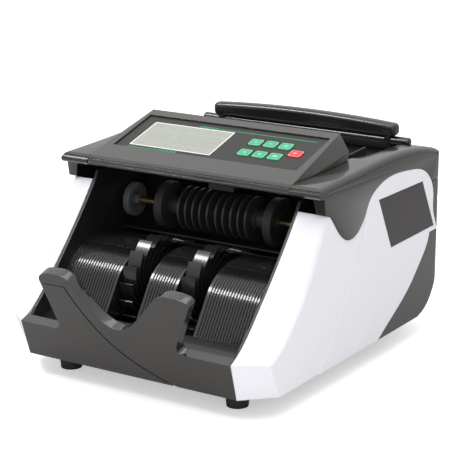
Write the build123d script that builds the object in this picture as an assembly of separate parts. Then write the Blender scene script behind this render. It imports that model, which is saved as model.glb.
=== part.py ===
from build123d import *
from math import atan2, cos, degrees, hypot, pi, radians, sin
import os

# Banknote counter and counterfeit detector with a front stacker, in millimetres.
# +X is the operator's right. While modelling, y is counted from the foot of the front cover
# towards the back and z from the table. The finished pieces are then moved so that the origin
# is the middle of the overall width and depth at table height.

# ---- driving dimensions ----
WIDTH_HALF = 122.5         # half the width over the white side panels
PANEL_INNER = 98.2         # where a side panel's front wrap meets the stacker bay
FRAME_OUTER = 98.0         # outer face of the black side frames
FRAME_INNER = 95.4         # inner face of the side frames: the bay is 190.8 wide
WALL = 2.5                 # moulded wall thickness
SEAM = 0.3                 # gap at the parting lines
CORNER_ROUND = 7.0         # rounding between a side panel's front wrap and its side
CREASE_STEP = 0.9          # a side panel's front half stands this much further in
FOOT_HEIGHT = 17.0
TRAY_TOP = FOOT_HEIGHT + WALL
CENTRE_Y = 130.3           # middle of the overall depth, counted from the front cover's foot

FEED_AXIS = (134.0, 116.9)     # y, z of the shafts
STACK_AXIS = (84.0, 63.5)
PICKUP_AXIS = (190.0, 139.0)
FEED_MOTOR_AXIS = (206.0, 62.0)
STACK_MOTOR_AXIS = (152.0, 48.0)
SHAFT_RADIUS = 3.0
RUNNING_GAP = 0.05
TYRE_RADIUS = 20.0
TYRE_X = 52.8
TYRE_SEAT = 15.5
PINCH_RADIUS = 7.0
PINCH_ANGLE = -35.0            # where the pinch rollers press on the feed tyres
WHEEL_RADIUS = 41.0
WHEEL_SLOTS = ((-42.5, -13.5), (13.5, 41.5))
WHEEL_SPANS = ((-40.5, -28.0), (15.5, 28.0))

CONSOLE_FRONT = (81.9, 164.6)  # y, z of the console's front top edge
CONSOLE_REAR = (164.8, 188.6)
CONSOLE_SLOPE = degrees(atan2(CONSOLE_REAR[1] - CONSOLE_FRONT[1], CONSOLE_REAR[0] - CONSOLE_FRONT[0]))
OVERLAY_SINK = 1.2             # the overlay lies this far below the console's top face
KEY_SIZE = (11.4, 10.0)
KEY_COLUMNS = (30.0, 44.0, 58.0)
KEY_ROWS = (38.5, 56.2)
RED_KEY = (72.3, 47.0)
SCREEN = (-74.6, 2.6, 27.7, 66.9)   # left, right, front and back of the main screen

HINGE_AXIS = (264.0, 164.2)    # the note support folds about this line
FLOOR_SLOPE = 2.9              # the hopper floor falls towards the feed
FRONT_LEAN = degrees(atan2(10.0, 30.3))
FRONT_DEPTH = 9.5
FRONT_RIM = 2.2                # thickness of the front cover's turned-back rim


# ---- helpers ----
def face(*runs):
    """A closed face bounded by runs of points: 'curve' runs are smooth, 'line' runs straight."""
    edges = []
    for kind, points in runs:
        if kind == "curve":
            edges.append(Spline(*points))
        else:
            edges += [Line(a, b) for a, b in zip(points, points[1:])]
    return make_face(edges)


def polygon(*points):
    return make_face(Polyline(*points, close=True))


def slab(profile, x_from, x_to):
    """Extrude a y-z profile between two x positions."""
    return extrude(Plane.YZ.offset(x_from) * profile, amount=x_to - x_from, dir=(1, 0, 0))


def plan(profile, z_from, z_to):
    """Extrude an x-y profile between two heights."""
    return extrude(Plane.XY.offset(z_from) * profile, amount=z_to - z_from, dir=(0, 0, 1))


def block(x_from, x_to, y_from, y_to, z_from, z_to):
    size = (x_to - x_from, y_to - y_from, z_to - z_from)
    centre = ((x_from + x_to) / 2, (y_from + y_to) / 2, (z_from + z_to) / 2)
    return Pos(*centre) * Box(*size)


def rod(radius, x_from, x_to, axis):
    """A round bar along x; axis is its (y, z)."""
    return Pos((x_from + x_to) / 2, *axis) * Rot(0, 90, 0) * Cylinder(radius, x_to - x_from)


def tube(outer, inner, x_from, x_to, axis):
    return rod(outer, x_from, x_to, axis) - rod(inner, x_from - 1, x_to + 1, axis)


def both_sides(solid):
    return [solid, mirror(solid, Plane.YZ)]


def mirrored(solid):
    return mirror(solid, Plane.YZ)


def on_circle(axis, radius, angle):
    """The (y, z) at an angle from the +y direction, towards +z."""
    return (axis[0] + radius * cos(radians(angle)), axis[1] + radius * sin(radians(angle)))


def offset_points(points, distance):
    """Points moved square to the run they lie on; positive is to the left of its direction."""
    moved = []
    for i, (y, z) in enumerate(points):
        before = points[max(i - 1, 0)]
        after = points[min(i + 1, len(points) - 1)]
        length = hypot(after[0] - before[0], after[1] - before[1])
        normal = (-(after[1] - before[1]) / length, (after[0] - before[0]) / length)
        moved.append((y + normal[0] * distance, z + normal[1] * distance))
    return moved


def grown(runs, amount):
    """The face of a closed set of runs with every side moved outward by the same amount."""
    points = [p for _, run in runs for p in run[:-1]]
    count = len(points)
    area = sum(a[0] * b[1] - a[1] * b[0] for a, b in zip(points, points[1:] + points[:1]))
    side = amount if area > 0 else -amount
    moved = []
    for i, (x, y) in enumerate(points):
        before, after = points[i - 1], points[(i + 1) % count]
        length_in = hypot(x - before[0], y - before[1])
        length_out = hypot(after[0] - x, after[1] - y)
        one = ((y - before[1]) / length_in, (before[0] - x) / length_in)
        two = ((after[1] - y) / length_out, (x - after[0]) / length_out)
        scale = side / (1 + one[0] * two[0] + one[1] * two[1])
        moved.append((x + (one[0] + two[0]) * scale, y + (one[1] + two[1]) * scale))
    result = []
    start = 0
    for kind, run in runs:
        result.append((kind, [moved[(start + i) % count] for i in range(len(run))]))
        start += len(run) - 1
    return face(*result)


def band(points, low, high):
    """The strip between two offsets of a smooth run of points."""
    one = offset_points(points, low)
    two = offset_points(points, high)[::-1]
    return face(("curve", one), ("line", [one[-1], two[0]]), ("curve", two), ("line", [two[-1], one[0]]))


# ---- outlines shared by the covers ----
PANEL_FRONT_INNER = [(-8.6, 47.1), (5.7, 55.2), (26.6, 74.2), (47.6, 96.0), (75.6, 128.2), (87.2, 142.9)]
PANEL_FRONT_OUTER = [(8.8, 46.6), (28.7, 54.6), (45.9, 69.3), (63.4, 89.7), (76.4, 112.4), (92.0, 141.1)]
PANEL_TOP = [
    (95.5, 140.0), (100.3, 135.1), (106.9, 127.2), (116.5, 118.5), (128.0, 114.2), (142.1, 119.0),
    (152.1, 129.8), (158.5, 139.3), (170.5, 146.8), (194.4, 151.9), (228.5, 150.1), (255.3, 144.0),
    (267.6, 134.0), (272.9, 112.2),
]
PANEL_REAR = [
    (267.8, 87.9), (264.0, 79.0), (251.3, 65.2), (233.6, 49.5), (198.4, 28.4), (178.0, FOOT_HEIGHT),
]
BEZEL_CORNER = [(272.9, 112.2), (274.2, 104.2), (282.0, 88.0), (267.8, 87.9)]
COVER_TOP = [
    (81.9, 164.6), (110.0, 165.4), (140.0, 166.4), (170.0, 167.7), (200.0, 168.3), (228.0, 167.4),
    (257.0, 164.0), (279.0, 158.9),
]
REAR_OUTER = [
    (252.5, 18.0), (269.3, 26.0), (280.0, 39.9), (285.7, 59.5), (287.0, 76.0), (285.0, 105.0),
    (282.0, 132.0),
]
PARTING_Z = 132.4


def panel_runs(front_foot, front_curve):
    """A side panel's outline in side view; the front differs between its inner and outer face."""
    return [
        ("line", [(front_foot, FOOT_HEIGHT), front_curve[0]]),
        ("curve", front_curve),
        ("line", [front_curve[-1], PANEL_TOP[0]]),
        ("curve", PANEL_TOP),
        ("line", BEZEL_CORNER),
        ("curve", PANEL_REAR),
        ("line", [PANEL_REAR[-1], (front_foot, FOOT_HEIGHT)]),
    ]


def front_wrap(front_foot, front_curve, x):
    """The room behind a panel's front wall at one x, open to the top, back and bottom."""
    moved = [(y + WALL, z - WALL) for y, z in front_curve]
    return Plane.YZ.offset(x) * face(
        ("line", [(front_foot + WALL + 4, FOOT_HEIGHT - 10), (front_foot + WALL, FOOT_HEIGHT), moved[0]]),
        ("curve", moved),
        ("line", [moved[-1], (moved[-1][0], 250), (400, 250), (400, FOOT_HEIGHT - 10),
                  (front_foot + WALL + 4, FOOT_HEIGHT - 10)]),
    )


def panel_solid():
    """The right panel as a full block: the front sweeps back towards the outside."""
    inner = Plane.YZ.offset(PANEL_INNER) * face(*panel_runs(0, PANEL_FRONT_INNER))
    outer = Plane.YZ.offset(WIDTH_HALF) * face(*panel_runs(24, PANEL_FRONT_OUTER))
    return loft([inner, outer], ruled=True)


def panel_cutter():
    """The panel's side outline, a seam wider all round, to trim the dark covers behind it."""
    return slab(grown(panel_runs(0, PANEL_FRONT_INNER), SEAM), PANEL_INNER - 3, WIDTH_HALF + 5)


# ---- covers ----
WINDOW = [("line", [(173.7, 136.5), (252.3, 135.7), (276.3, 92.0), (197.2, 91.1), (173.7, 136.5)])]
WINDOW_DEPTH = 1.4
WINDOW_LEDGE = 3.0             # width of the step the side display window rests on


def side_panel():
    """White pod: a rounded front corner, a shallow crease line and an open inside."""
    solid = panel_solid()
    corner = [e for e in solid.edges() if abs(e.center().X - WIDTH_HALF) < 0.1
              and e.center().Y < 80 and e.center().Z > FOOT_HEIGHT + 5]
    solid = fillet(corner, CORNER_ROUND)
    room = loft([front_wrap(0, PANEL_FRONT_INNER, PANEL_INNER - 1),
                 front_wrap(24, PANEL_FRONT_OUTER, WIDTH_HALF - WALL)], ruled=True)
    crease = face(
        ("curve", [(71.5, 0), (78.0, 14.0), (97.2, 32.5), (128.0, 73.3), (147.7, 114.4), (156, 145)]),
        ("line", [(156, 145), (170, 200), (-60, 200), (-60, 0), (71.5, 0)]),
    )
    return solid - room - slab(crease, WIDTH_HALF - CREASE_STEP, WIDTH_HALF + 1)


def right_side_panel():
    shell = side_panel()
    pocket = slab(grown(WINDOW, 0), WIDTH_HALF - WINDOW_DEPTH, WIDTH_HALF + 1)
    opening = slab(grown(WINDOW, -WINDOW_LEDGE), WIDTH_HALF - 10, WIDTH_HALF + 1)
    return shell - pocket - opening


def side_display_window():
    return slab(grown(WINDOW, -0.15), WIDTH_HALF - WINDOW_DEPTH, WIDTH_HALF - 0.4)


def side_display_board():
    """Circuit board with a two-digit display module behind the side window."""
    board = block(WIDTH_HALF - 6.4, WIDTH_HALF - 4.8, 203, 258, 94, 133)
    digits = block(WIDTH_HALF - 4.8, WIDTH_HALF - 2.7, 208, 240, 100, 128)
    return board + digits


EAR_PLAN = [(PANEL_INNER - 0.2, 76.5), (108.0, 79.5), (116.0, 84.0), (120.6, 90.0), (WIDTH_HALF, 98.0)]


def ear_corner(inset):
    """What is cut away in front of the rounded visor corners, both sides."""
    curve = [(x - inset, y + inset) for x, y in EAR_PLAN]
    first, last = curve[0], curve[-1]
    corner = face(("curve", curve), ("line", [last, (140, last[1]), (140, 40), (first[0], 40), first]))
    return both_sides(plan(corner, 90, 200))


def dish(grow, z_low, z_high):
    """The hopper's funnel: eight-sided, wider at the top."""
    low = Plane.XY.offset(z_low) * polygon(
        (92 + grow, 166), (92 + grow, 195), (92 + grow, 262), (88 + grow, 268.4 + grow),
        (-88 - grow, 268.4 + grow), (-92 - grow, 262), (-92 - grow, 195), (-92 - grow, 166))
    high = Plane.XY.offset(z_high) * polygon(
        (96 + grow, 166), (107 + grow, 196), (107 + grow, 264), (99 + grow, 274 + grow),
        (-99 - grow, 274 + grow), (-107 - grow, 264), (-107 - grow, 196), (-96 - grow, 166))
    return loft([low, high], ruled=True)


def cover_block(inset):
    """The upper cover's outside, or with an inset its inside, before anything is cut away."""
    top = [(y, z - inset) for y, z in COVER_TOP]
    if inset:
        lip = [(81.9 + 2 * inset, 90), top[0]]
        low = [(286 - inset, 156), (286 - inset, 90), (81.9 + 2 * inset, 90)]
        return slab(face(("line", lip), ("curve", top), ("line", [top[-1], *low])),
                    -WIDTH_HALF + inset, WIDTH_HALF - inset)
    lip = [(87.4, 143.3), (85.2, 155.8), (79.0, 156.6), (77.2, 158.4), (77.6, 161.0), (79.6, 161.6),
           (79.9, 163.2), (81.9, 164.6)]
    low = [(283.6, 155.6), (286.2, 147.0), (286.0, PARTING_Z + SEAM), (264, PARTING_Z + SEAM), (160, 112),
           (100, 112), (87.4, 143.3)]
    solid = slab(face(("line", lip), ("curve", COVER_TOP), ("line", [COVER_TOP[-1], *low])),
                 -WIDTH_HALF, WIDTH_HALF)
    rims = solid.edges().filter_by(lambda e: abs(abs(e.center().X) - WIDTH_HALF) < 0.1
                                   and e.center().Z > 158 and e.length > 100)
    return fillet(rims, 5.0) & rounded_back()


def rounded_back():
    """A tall block whose two back corners round off in plan."""
    outline = Rectangle(2 * WIDTH_HALF, 200)
    rounded = plan(Pos(0, 187.0) * fillet(outline.vertices(), 7.0), 0, 200)
    return rounded + block(-WIDTH_HALF, WIDTH_HALF, 0, 200, 0, 200)


def upper_cover():
    """Dark upper shell: visor ears, side tongues, hopper funnel and the back's upper part."""
    outside = cover_block(0)
    for corner in ear_corner(0):
        outside -= corner
    inside = cover_block(WALL)
    for corner in ear_corner(WALL):
        inside -= corner
    shell = outside - inside
    shell += dish(2.2, 153.5, 169.5) & outside
    shell -= dish(0, 153.4, 169.6)
    shell -= block(-96.3, 96.3, 40, 166.1, 90, 200)
    cutter = panel_cutter()
    shell -= cutter
    shell -= mirrored(cutter)
    rim = band([(y, z - 4.6) for y, z in COVER_TOP], -0.45, 0.45)
    shell -= both_sides(slab(rim, WIDTH_HALF - 0.7, WIDTH_HALF + 1))
    notch = rod(4.3, 84, 104.5, HINGE_AXIS)
    notch += block(84, 104.5, HINGE_AXIS[0] - 4.3, HINGE_AXIS[0] + 4.3, HINGE_AXIS[1], 175)
    shell -= both_sides(notch)
    return largest(shell)


def largest(shape):
    """Keep the main solid and drop slivers that a cut may leave."""
    return max(shape.solids(), key=lambda s: s.volume)


CONNECTORS_Z = (62.0, 92.0)


def rear_cover():
    """Dark lower back shell with vents, a flat connector recess and a curved underside."""
    outer = face(
        ("line", [(165, FOOT_HEIGHT), (250, FOOT_HEIGHT), REAR_OUTER[0]]),
        ("curve", REAR_OUTER),
        ("line", [REAR_OUTER[-1], (262, 132.0), (230, 60), (165, FOOT_HEIGHT)]),
    )
    curve = [(y - WALL, z + 1) for y, z in REAR_OUTER]
    inner = face(
        ("line", [(120, 5), (curve[0][0], 5), curve[0]]),
        ("curve", curve),
        ("line", [curve[-1], (curve[-1][0], 160), (120, 160), (120, 5)]),
    )
    solid = slab(outer, -WIDTH_HALF, WIDTH_HALF)
    solid &= rounded_back()
    solid -= slab(inner, -WIDTH_HALF + WALL, WIDTH_HALF - WALL)
    cutter = panel_cutter()
    solid -= cutter
    solid -= mirrored(cutter)
    # a flat recess for the power inlet and the mains switch
    solid += block(-100, -14, 279.4, 283.0, CONNECTORS_Z[0] - 4, CONNECTORS_Z[1] + 4)
    solid -= block(-97, -17, 281.4, 300, *CONNECTORS_Z)
    solid -= block(-88.2, -60.8, 270, 300, 67.4, 86.8)
    solid -= block(-52.2, -38.8, 270, 300, 66.3, 87.9)
    for i in range(9):
        x = 20 + i * 8
        solid -= block(x - 1.5, x + 1.5, 270, 300, 66, 96)
    for x, y, z in REAR_SCREWS:
        solid -= Pos(x, y, z) * Rot(90, 0, 0) * Cylinder(1.8, 14)
        solid -= Pos(x, y + 3.5, z) * Rot(90, 0, 0) * Cylinder(3.6, 10)
    solid -= block(WIDTH_HALF - 8, WIDTH_HALF + 1, 281.3, 290, 112.5, 117.5)
    return largest(solid)


REAR_SCREWS = ((-104, 283.5, 118), (104, 283.5, 118), (-104, 286.8, 76), (104, 286.8, 76))
BASE_SCREWS = [(x, y) for x in (-106, 106) for y in (60, 160)] + [(-60, 12), (60, 12)]
FEET = [(x, y) for x in (-80, 80) for y in (30, 228)]


def board_bracket():
    """Bent tab at the tray's back edge; the controller board is screwed to its upper leg."""
    foot = block(76, 92, 245.6, 246.9, TRAY_TOP - 1, 34)
    step = block(76, 92, 245.6, 261.0, 32.7, 34)
    upright = block(76, 92, 259.7, 261.0, 32.7, 120)
    return foot + step + upright


def base_tray():
    """Bottom pan: the feet, side frames, transformer and boards stand on it."""
    sheet = plan(polygon((96, 12), (119.4, 36), (119.4, 247), (-119.4, 247), (-119.4, 36), (-96, 12)),
                 FOOT_HEIGHT, TRAY_TOP)
    sheet -= block(-95, 95, 0, 13.0, 0, 40)
    sheet += block(-94.8, 94.8, 11.6, 13.2, FOOT_HEIGHT, TRAY_TOP)
    for x, y in BASE_SCREWS:
        sheet -= Pos(x, y, FOOT_HEIGHT) * Cylinder(1.7, 20)
    for x, y in FEET:
        sheet -= Pos(x, y, FOOT_HEIGHT) * Cylinder(3.1, 20)
    for i in range(7):
        sheet -= block(-60 + i * 12, -56 + i * 12, 195, 225, 10, 30)
    return largest(sheet + both_sides(board_bracket()))


def feet():
    foot = Cone(8.6, 10.2, FOOT_HEIGHT - 0.2, align=(Align.CENTER, Align.CENTER, Align.MIN))
    foot += Pos(0, 0, FOOT_HEIGHT - 0.2) * Cylinder(3.0, 4.2, align=(Align.CENTER, Align.CENTER, Align.MIN))
    return [Pos(x, y, 0) * foot for x, y in FEET]


def screw_at(x, y):
    head = Pos(0, 0, FOOT_HEIGHT - 1.9) * Cylinder(3.2, 1.8, align=(Align.CENTER, Align.CENTER, Align.MIN))
    head -= Pos(0, 0, FOOT_HEIGHT - 1.9) * (Box(4.2, 0.7, 1.8) + Box(0.7, 4.2, 1.8))
    shank = Pos(0, 0, FOOT_HEIGHT - 0.2) * Cylinder(1.5, 6, align=(Align.CENTER, Align.CENTER, Align.MIN))
    return Pos(x, y, 0) * (head + shank)


def case_screws():
    """Cross-head screws under the tray and in the back."""
    screws = [screw_at(x, y) for x, y in BASE_SCREWS]
    one = Pos(0, -0.7, 0) * Rot(90, 0, 0) * Cylinder(3.2, 1.4)
    one -= Box(4.2, 1.6, 0.7) + Box(0.7, 1.6, 4.2)
    one += Pos(0, -5.4, 0) * Rot(90, 0, 0) * Cylinder(1.5, 8)
    return screws + [Pos(*place) * one for place in REAR_SCREWS]


# ---- front cover with two horns ----
def front_plane():
    """Local x is across the machine, y runs up the leaning face and z points to the operator."""
    return Pos(0, 0, FOOT_HEIGHT + 0.1) * Rot(90 + FRONT_LEAN, 0, 0)


def horn_runs():
    """The front cover's outline: a strip with two splayed horns and a U between them."""
    return [
        ("line", [(-98, 0), (98, 0), (98, 32.0), (56.5, 32.0)]),
        ("curve", [(56.5, 32.0), (53.0, 34.0), (53.2, 40.0)]),
        ("line", [(53.2, 40.0), (71.6, 76.5)]),
        ("curve", [(71.6, 76.5), (71.3, 80.6), (66.5, 83.0), (58.0, 84.0), (49.0, 83.4), (42.6, 80.4)]),
        ("curve", [(42.6, 80.4), (33.4, 70.7), (23.1, 59.0), (11.7, 48.6), (-1.0, 43.0), (-12.5, 47.2),
                   (-21.7, 56.5), (-30.1, 68.3), (-37.6, 80.4)]),
        ("curve", [(-37.6, 80.4), (-42.4, 83.6), (-51.0, 84.4), (-59.5, 83.6), (-65.6, 80.6),
                   (-66.6, 75.6)]),
        ("line", [(-66.6, 75.6), (-59.2, 41.0)]),
        ("curve", [(-59.2, 41.0), (-59.4, 34.4), (-63.2, 31.4)]),
        ("line", [(-63.2, 31.4), (-98, 32.0), (-98, 0)]),
    ]


def front_cover():
    """Leaning front stop that holds the stacked notes: a hollow moulding with a rim."""
    plate = plan(face(*horn_runs()), -FRONT_DEPTH, 0)
    hollow = plan(grown(horn_runs(), -FRONT_RIM), -FRONT_DEPTH - WALL, -WALL)
    sweep = [(-43.5, 74.4), (-37.2, 62.4), (-9.2, 27.1), (20.1, 9.0), (49.2, -1.9)]
    groove = plan(band(sweep, -0.65, 0.65), -1.1, 2)
    rim = polygon((-63, 73.6), (-43.5, 74.0), (-43.2, 75.0), (-63, 74.4))
    shape = plate - hollow - groove - plan(rim, -0.5, 2)
    return largest(front_plane() * shape)


# ---- frames inside ----
def frame_outline():
    front = [(y + 0.8, z - 0.4) for y, z in PANEL_FRONT_INNER[1:]]
    return face(
        ("line", [(12.0, TRAY_TOP + 0.1), (2.2, 49.5), front[0]]),
        ("curve", front),
        ("line", [front[-1], (92, 150), (204, 150), (236, 112), (236, TRAY_TOP + 0.1),
                  (12.0, TRAY_TOP + 0.1)]),
    )


SHAFT_AXES = (FEED_AXIS, STACK_AXIS, PICKUP_AXIS)


def side_frame():
    """Black inner side plate that carries the shaft ends; its front edge follows the bay."""
    plate = slab(frame_outline(), FRAME_INNER, FRAME_OUTER)
    for axis in SHAFT_AXES:
        plate -= rod(5.0, FRAME_INNER - 1, FRAME_OUTER + 1, axis)
    plate -= rod(2.4, FRAME_INNER - 1, FRAME_OUTER + 1, pinch_axis())
    for axis in (FEED_MOTOR_AXIS, STACK_MOTOR_AXIS):
        plate -= rod(7.0, FRAME_INNER - 1, FRAME_OUTER + 1, axis)
    return plate


def shaft_bushes():
    """Flanged bushes in the side frames for the three driven shafts."""
    bushes = []
    for axis in SHAFT_AXES:
        sleeve = rod(4.97, FRAME_INNER, FRAME_OUTER, axis) + rod(6.4, FRAME_OUTER, FRAME_OUTER + 1.0, axis)
        bushes += both_sides(sleeve - rod(SHAFT_RADIUS + RUNNING_GAP, 90, 110, axis))
    return bushes


# ---- stacker guide ----
GUIDE_CURVE = [
    (119.0, 92.4), (106.0, 95.0), (90.0, 96.6), (72.0, 94.6), (58.0, 88.8), (47.6, 80.2), (40.4, 69.6),
    (33.6, 59.4), (27.0, 49.6),
]
GUIDE_FLOOR = [(27.0, 49.6), (8.4, 43.0), (3.2, 42.4)]
GUIDE_HALF = 95.2
RIB_PITCH = 2.6
RIB_DEPTH = 0.8


def zone_spans():
    """The ribbed zones between the side frames and the two wheel slots."""
    (a, b), (c, d) = WHEEL_SLOTS
    return ((-GUIDE_HALF, a), (b, c), (d, GUIDE_HALF))


def stacker_guide():
    """Ribbed black hump that the wheels strip the notes on to, with two wheel slots."""
    under = offset_points(GUIDE_CURVE, WALL)[::-1]
    hump = face(
        ("curve", GUIDE_CURVE),
        ("line", GUIDE_FLOOR),
        ("line", [GUIDE_FLOOR[-1], (3.2, 39.6), (9.2, 40.2), under[0]]),
        ("curve", under),
        ("line", [under[-1], GUIDE_CURVE[0]]),
    )
    guide = slab(hump, -GUIDE_HALF, GUIDE_HALF)
    slot = polygon((25.4, 50.6), (40, 30), (113.6, 30), (113.6, 120), (20, 120), (20, 60))
    for x_from, x_to in WHEEL_SLOTS:
        guide -= slab(slot, x_from, x_to)
    web = face(
        ("curve", under),
        ("line", [under[-1], (112, 84), (96, 50), (30, 44), under[0]]),
    )
    for x_from, x_to in WHEEL_SLOTS:
        for side_from, side_to in ((x_from - 1.6, x_from), (x_to, x_to + 1.6)):
            guide += slab(web, side_from, side_to) - rod(7, side_from - 1, side_to + 1, STACK_AXIS)
    grooves = []
    ribbed = GUIDE_CURVE[3:]
    groove_profile = band(ribbed, -0.6, RIB_DEPTH)
    for x_from, x_to in zone_spans():
        count = int((x_to - x_from - 3) / RIB_PITCH)
        first = (x_from + x_to) / 2 - (count - 1) / 2 * RIB_PITCH
        for i in range(count):
            x = first + i * RIB_PITCH
            grooves.append(slab(groove_profile, x - 0.6, x + 0.6))
    return largest(guide - grooves)


def stripper_clips():
    """Two bright spring clips on the guide's back edge above the wheel slots."""
    clip = block(-9, 9, 114.0, 119.6, 93.7, 94.5) + block(-9, -2, 112.6, 119.6, 94.5, 95.2)
    return [Pos(x, 0, 0) * clip for x in (-27.5, 27.5)]


# ---- stacker wheels ----
FINGERS = 18


def finger_face():
    """One curved finger: it spirals out of the hub and trails behind the turning wheel."""
    points = []
    steps = 7
    for i in range(steps):
        t = i / (steps - 1)
        radius = 9.0 + (WHEEL_RADIUS - 0.6 - 9.0) * t
        points.append(on_circle((0, 0), radius, -95 * t ** 1.15))
    return band(points, -0.55, 0.55)


def stacker_wheel(x_from, x_to):
    hub = tube(10.5, SHAFT_RADIUS, x_from, x_to, (0, 0))
    finger = slab(finger_face(), x_from, x_to)
    fingers = [Rot(i * 360 / FINGERS, 0, 0) * finger for i in range(FINGERS)]
    wheel = hub + fingers
    return largest(Pos(0, *STACK_AXIS) * wheel)


def left_stacker_wheel():
    return stacker_wheel(*WHEEL_SPANS[0])


def right_stacker_wheel():
    return stacker_wheel(*WHEEL_SPANS[1])


PULLEY_X = 103.0           # belts run in the room between side frame and side panel
PULLEY_WIDTH = 7.0
SECOND_X = 111.0


def pulley(radius, bore, x_from, axis):
    """Belt pulley with two thin flanges."""
    body = rod(radius, x_from, x_from + PULLEY_WIDTH, axis)
    for x in (x_from, x_from + PULLEY_WIDTH - 0.8):
        body += rod(radius + 1.4, x, x + 0.8, axis)
    return body - rod(bore, x_from - 1, x_from + PULLEY_WIDTH + 1, axis)


def belt(axis_a, radius_a, axis_b, radius_b, x_from):
    """A closed rubber belt round two pulleys."""
    def loop(extra):
        circles = [Pos(*axis_a) * Circle(radius_a + extra), Pos(*axis_b) * Circle(radius_b + extra)]
        return make_hull(circles[0].edges() + circles[1].edges())
    ring = loop(1.25) - loop(0.15)
    return slab(ring, x_from + 1.4, x_from + PULLEY_WIDTH - 1.4)


FEED_PULLEY_RADIUS = 12.0
MOTOR_PULLEY_RADIUS = 8.0
STACK_PULLEY_RADIUS = 14.0


def stack_shaft():
    return rod(SHAFT_RADIUS, -113, 100, STACK_AXIS)


def stack_pulley():
    return pulley(STACK_PULLEY_RADIUS, SHAFT_RADIUS, -PULLEY_X - PULLEY_WIDTH, STACK_AXIS)


# ---- feed rollers ----
DISC_X = (-33.0, -26.0, -19.0, -12.0, -4.6, 3.6, 10.6, 18.0, 25.0, 32.0)


def feed_shaft():
    return rod(SHAFT_RADIUS, -102, 119.5, FEED_AXIS)


def feed_drum():
    """Moulded drum with ten thin discs that carry the note round, and the seats of the two tyres."""
    drum = rod(9.5, -37, 36, FEED_AXIS) + rod(8.0, -TYRE_X, TYRE_X, FEED_AXIS)
    for x in DISC_X:
        drum += rod(18.5, x - 0.9, x + 0.9, FEED_AXIS)
    seat = rod(TYRE_SEAT, TYRE_X - 3.4, TYRE_X + 3.4, FEED_AXIS) - tube(13.0, 9.5, TYRE_X + 2, 60, FEED_AXIS)
    drum += both_sides(seat)
    return drum - rod(SHAFT_RADIUS, -60, 60, FEED_AXIS)


def feed_tyres():
    """Two large rubber feed rollers."""
    tyre = tube(TYRE_RADIUS, TYRE_SEAT, TYRE_X - 4, TYRE_X + 4, FEED_AXIS)
    return both_sides(fillet(tyre.edges().filter_by(lambda e: e.length > 2 * pi * 19), 0.8))


def end_rollers():
    """Two small grey rollers at the ends of the feed shaft, with sunk hubs."""
    wheel = fillet(rod(14.5, 86.2, 92.2, FEED_AXIS).edges().filter_by(GeomType.CIRCLE), 1.2)
    wheel -= rod(9.2, 85, 89.0, FEED_AXIS)
    wheel += rod(4.4, 83.4, 92.2, FEED_AXIS)
    return both_sides(wheel - rod(SHAFT_RADIUS, 80, 99, FEED_AXIS))


def feed_pulleys():
    """The driven pulley and the pulley that passes the drive on to the pick-up shaft."""
    return [pulley(FEED_PULLEY_RADIUS, SHAFT_RADIUS, PULLEY_X, FEED_AXIS),
            pulley(8.0, SHAFT_RADIUS, SECOND_X, FEED_AXIS)]


def pinch_axis():
    return on_circle(FEED_AXIS, TYRE_RADIUS + PINCH_RADIUS + 0.15, PINCH_ANGLE)


def pinch_rollers():
    """Sprung idler: two rubber rollers moulded on one shaft press the note on the feed tyres."""
    rollers = both_sides(rod(PINCH_RADIUS, TYRE_X - 5, TYRE_X + 5, pinch_axis()))
    return rod(1.6, -97, 97, pinch_axis()) + rollers


PICKUP_X = (30.0, 56.0)
PICKUP_RADIUS = 15.0


def pickup_shaft():
    return rod(SHAFT_RADIUS, -99.5, 119.5, PICKUP_AXIS)


def pickup_rollers():
    """Rubber rollers that come up through the hopper floor and push the lowest note forward."""
    wheel = tube(PICKUP_RADIUS, SHAFT_RADIUS, -5, 5, PICKUP_AXIS)
    wheel -= rod(11, -6, -2.5, PICKUP_AXIS) - rod(6, -6, -2.5, PICKUP_AXIS)
    return [Pos(side * x, 0, 0) * wheel for side in (-1, 1) for x in PICKUP_X]


def pickup_pulley():
    return pulley(8.0, SHAFT_RADIUS, SECOND_X, PICKUP_AXIS)


def rear_guide():
    """Curved plate behind the drum that turns the note down and forward, with roller windows."""
    start, end = 58, -104
    ring = Circle(25.0) - Circle(23.5)
    wedge = polygon((0, 0), *[on_circle((0, 0), 60, a) for a in range(start, end - 1, -18)])
    plate = slab(Pos(*FEED_AXIS) * (ring & wedge), -95.2, 95.2)
    for side in (-1, 1):
        plate -= block(*sorted((side * (TYRE_X - 6.5), side * (TYRE_X + 6.5))), 146, 170, 88, 114)
    for side in (-1, 1):
        plate -= sensor_hole(side)
    return largest(plate)


SENSOR_ANGLE = 14.0
SENSOR_X = 78.0


def sensor_hole(side):
    centre = on_circle(FEED_AXIS, 24.0, SENSOR_ANGLE)
    return Pos(side * SENSOR_X, *centre) * Rot(SENSOR_ANGLE - 90, 0, 0) * Cylinder(2.6, 12)


def note_sensors():
    """Red counting sensors at both ends of the note and the magnetic head in the middle."""
    centre = on_circle(FEED_AXIS, 24.5, SENSOR_ANGLE)
    lens = Rot(SENSOR_ANGLE - 90, 0, 0) * Cylinder(2.4, 4)
    sensors = [Pos(side * SENSOR_X, *centre) * lens for side in (-1, 1)]
    return sensors + [block(-9, 9, 159.5, 163.3, 112.5, 116.5)]


def uv_lamp():
    return rod(3.0, -95.2, 95.2, (163.6, 122.0))


def separator():
    """Fixed block with a rubber pad that lets only one note pass over the drum."""
    body = block(-14, 14, 138, 158, 138.6, 152)
    body -= rod(TYRE_RADIUS + 1.2, -20, 20, FEED_AXIS)
    return body + block(-94.8, 94.8, 141, 145, 146, 152)


def separator_pad():
    pad = block(-12, 12, 130.5, 137.8, 137.0, 150)
    return pad - rod(TYRE_RADIUS + 0.4, -20, 20, FEED_AXIS)


# ---- hopper ----
def floor_plane():
    """Local y runs back along the sloping hopper floor, z is square to it."""
    return Pos(0, 178, 150.6) * Rot(FLOOR_SLOPE, 0, 0)


GUIDE_SLOT_Y = 36.0


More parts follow.
